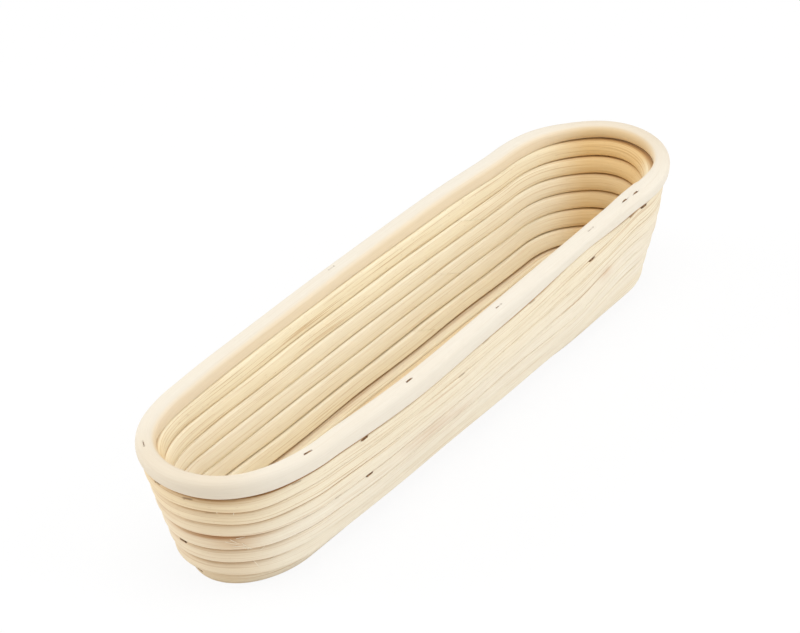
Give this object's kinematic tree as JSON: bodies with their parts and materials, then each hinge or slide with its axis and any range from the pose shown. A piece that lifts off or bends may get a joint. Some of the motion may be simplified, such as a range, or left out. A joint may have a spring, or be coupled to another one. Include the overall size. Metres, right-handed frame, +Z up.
{
  "type": "proofing basket",
  "caption": "Long oval proofing basket wound from pale rattan cane in a rising spiral with a thicker rounded rim, for shaping and proofing long loaves of dough.",
  "frame": {"origin": "middle of the underside, on the surface that the basket stands on", "axes": "+X along the basket towards the end beside the rim's lap, +Y across it away from the side with the lap, +Z up"},
  "size_m": [0.4372, 0.1125, 0.0804],
  "materials": {
    "base_cane": "bare rattan cane, matt, with fibres along its length",
    "wall_cane": "bare rattan cane, matt, with fibres along its length",
    "rim_cane": "bare rattan cane, sanded smooth",
    "staple_steel": "plain steel wire, dulled"
  },
  "bodies": {
    "root": {"core_front": "base_cane", "core_back": "base_cane", "base_cane": "base_cane", "wall_cane_1": "wall_cane", "wall_cane_2": "wall_cane", "wall_cane_3": "wall_cane", "wall_cane_4": "wall_cane", "rim_cane": "rim_cane", "base_staples": "staple_steel", "foot_staples": "staple_steel", "front_staples": "staple_steel", "back_staples": "staple_steel", "near_end_staples": "staple_steel", "far_end_staples": "staple_steel", "rim_staples": "staple_steel", "scarf_staples": "staple_steel"}
  },
  "joints": []
}
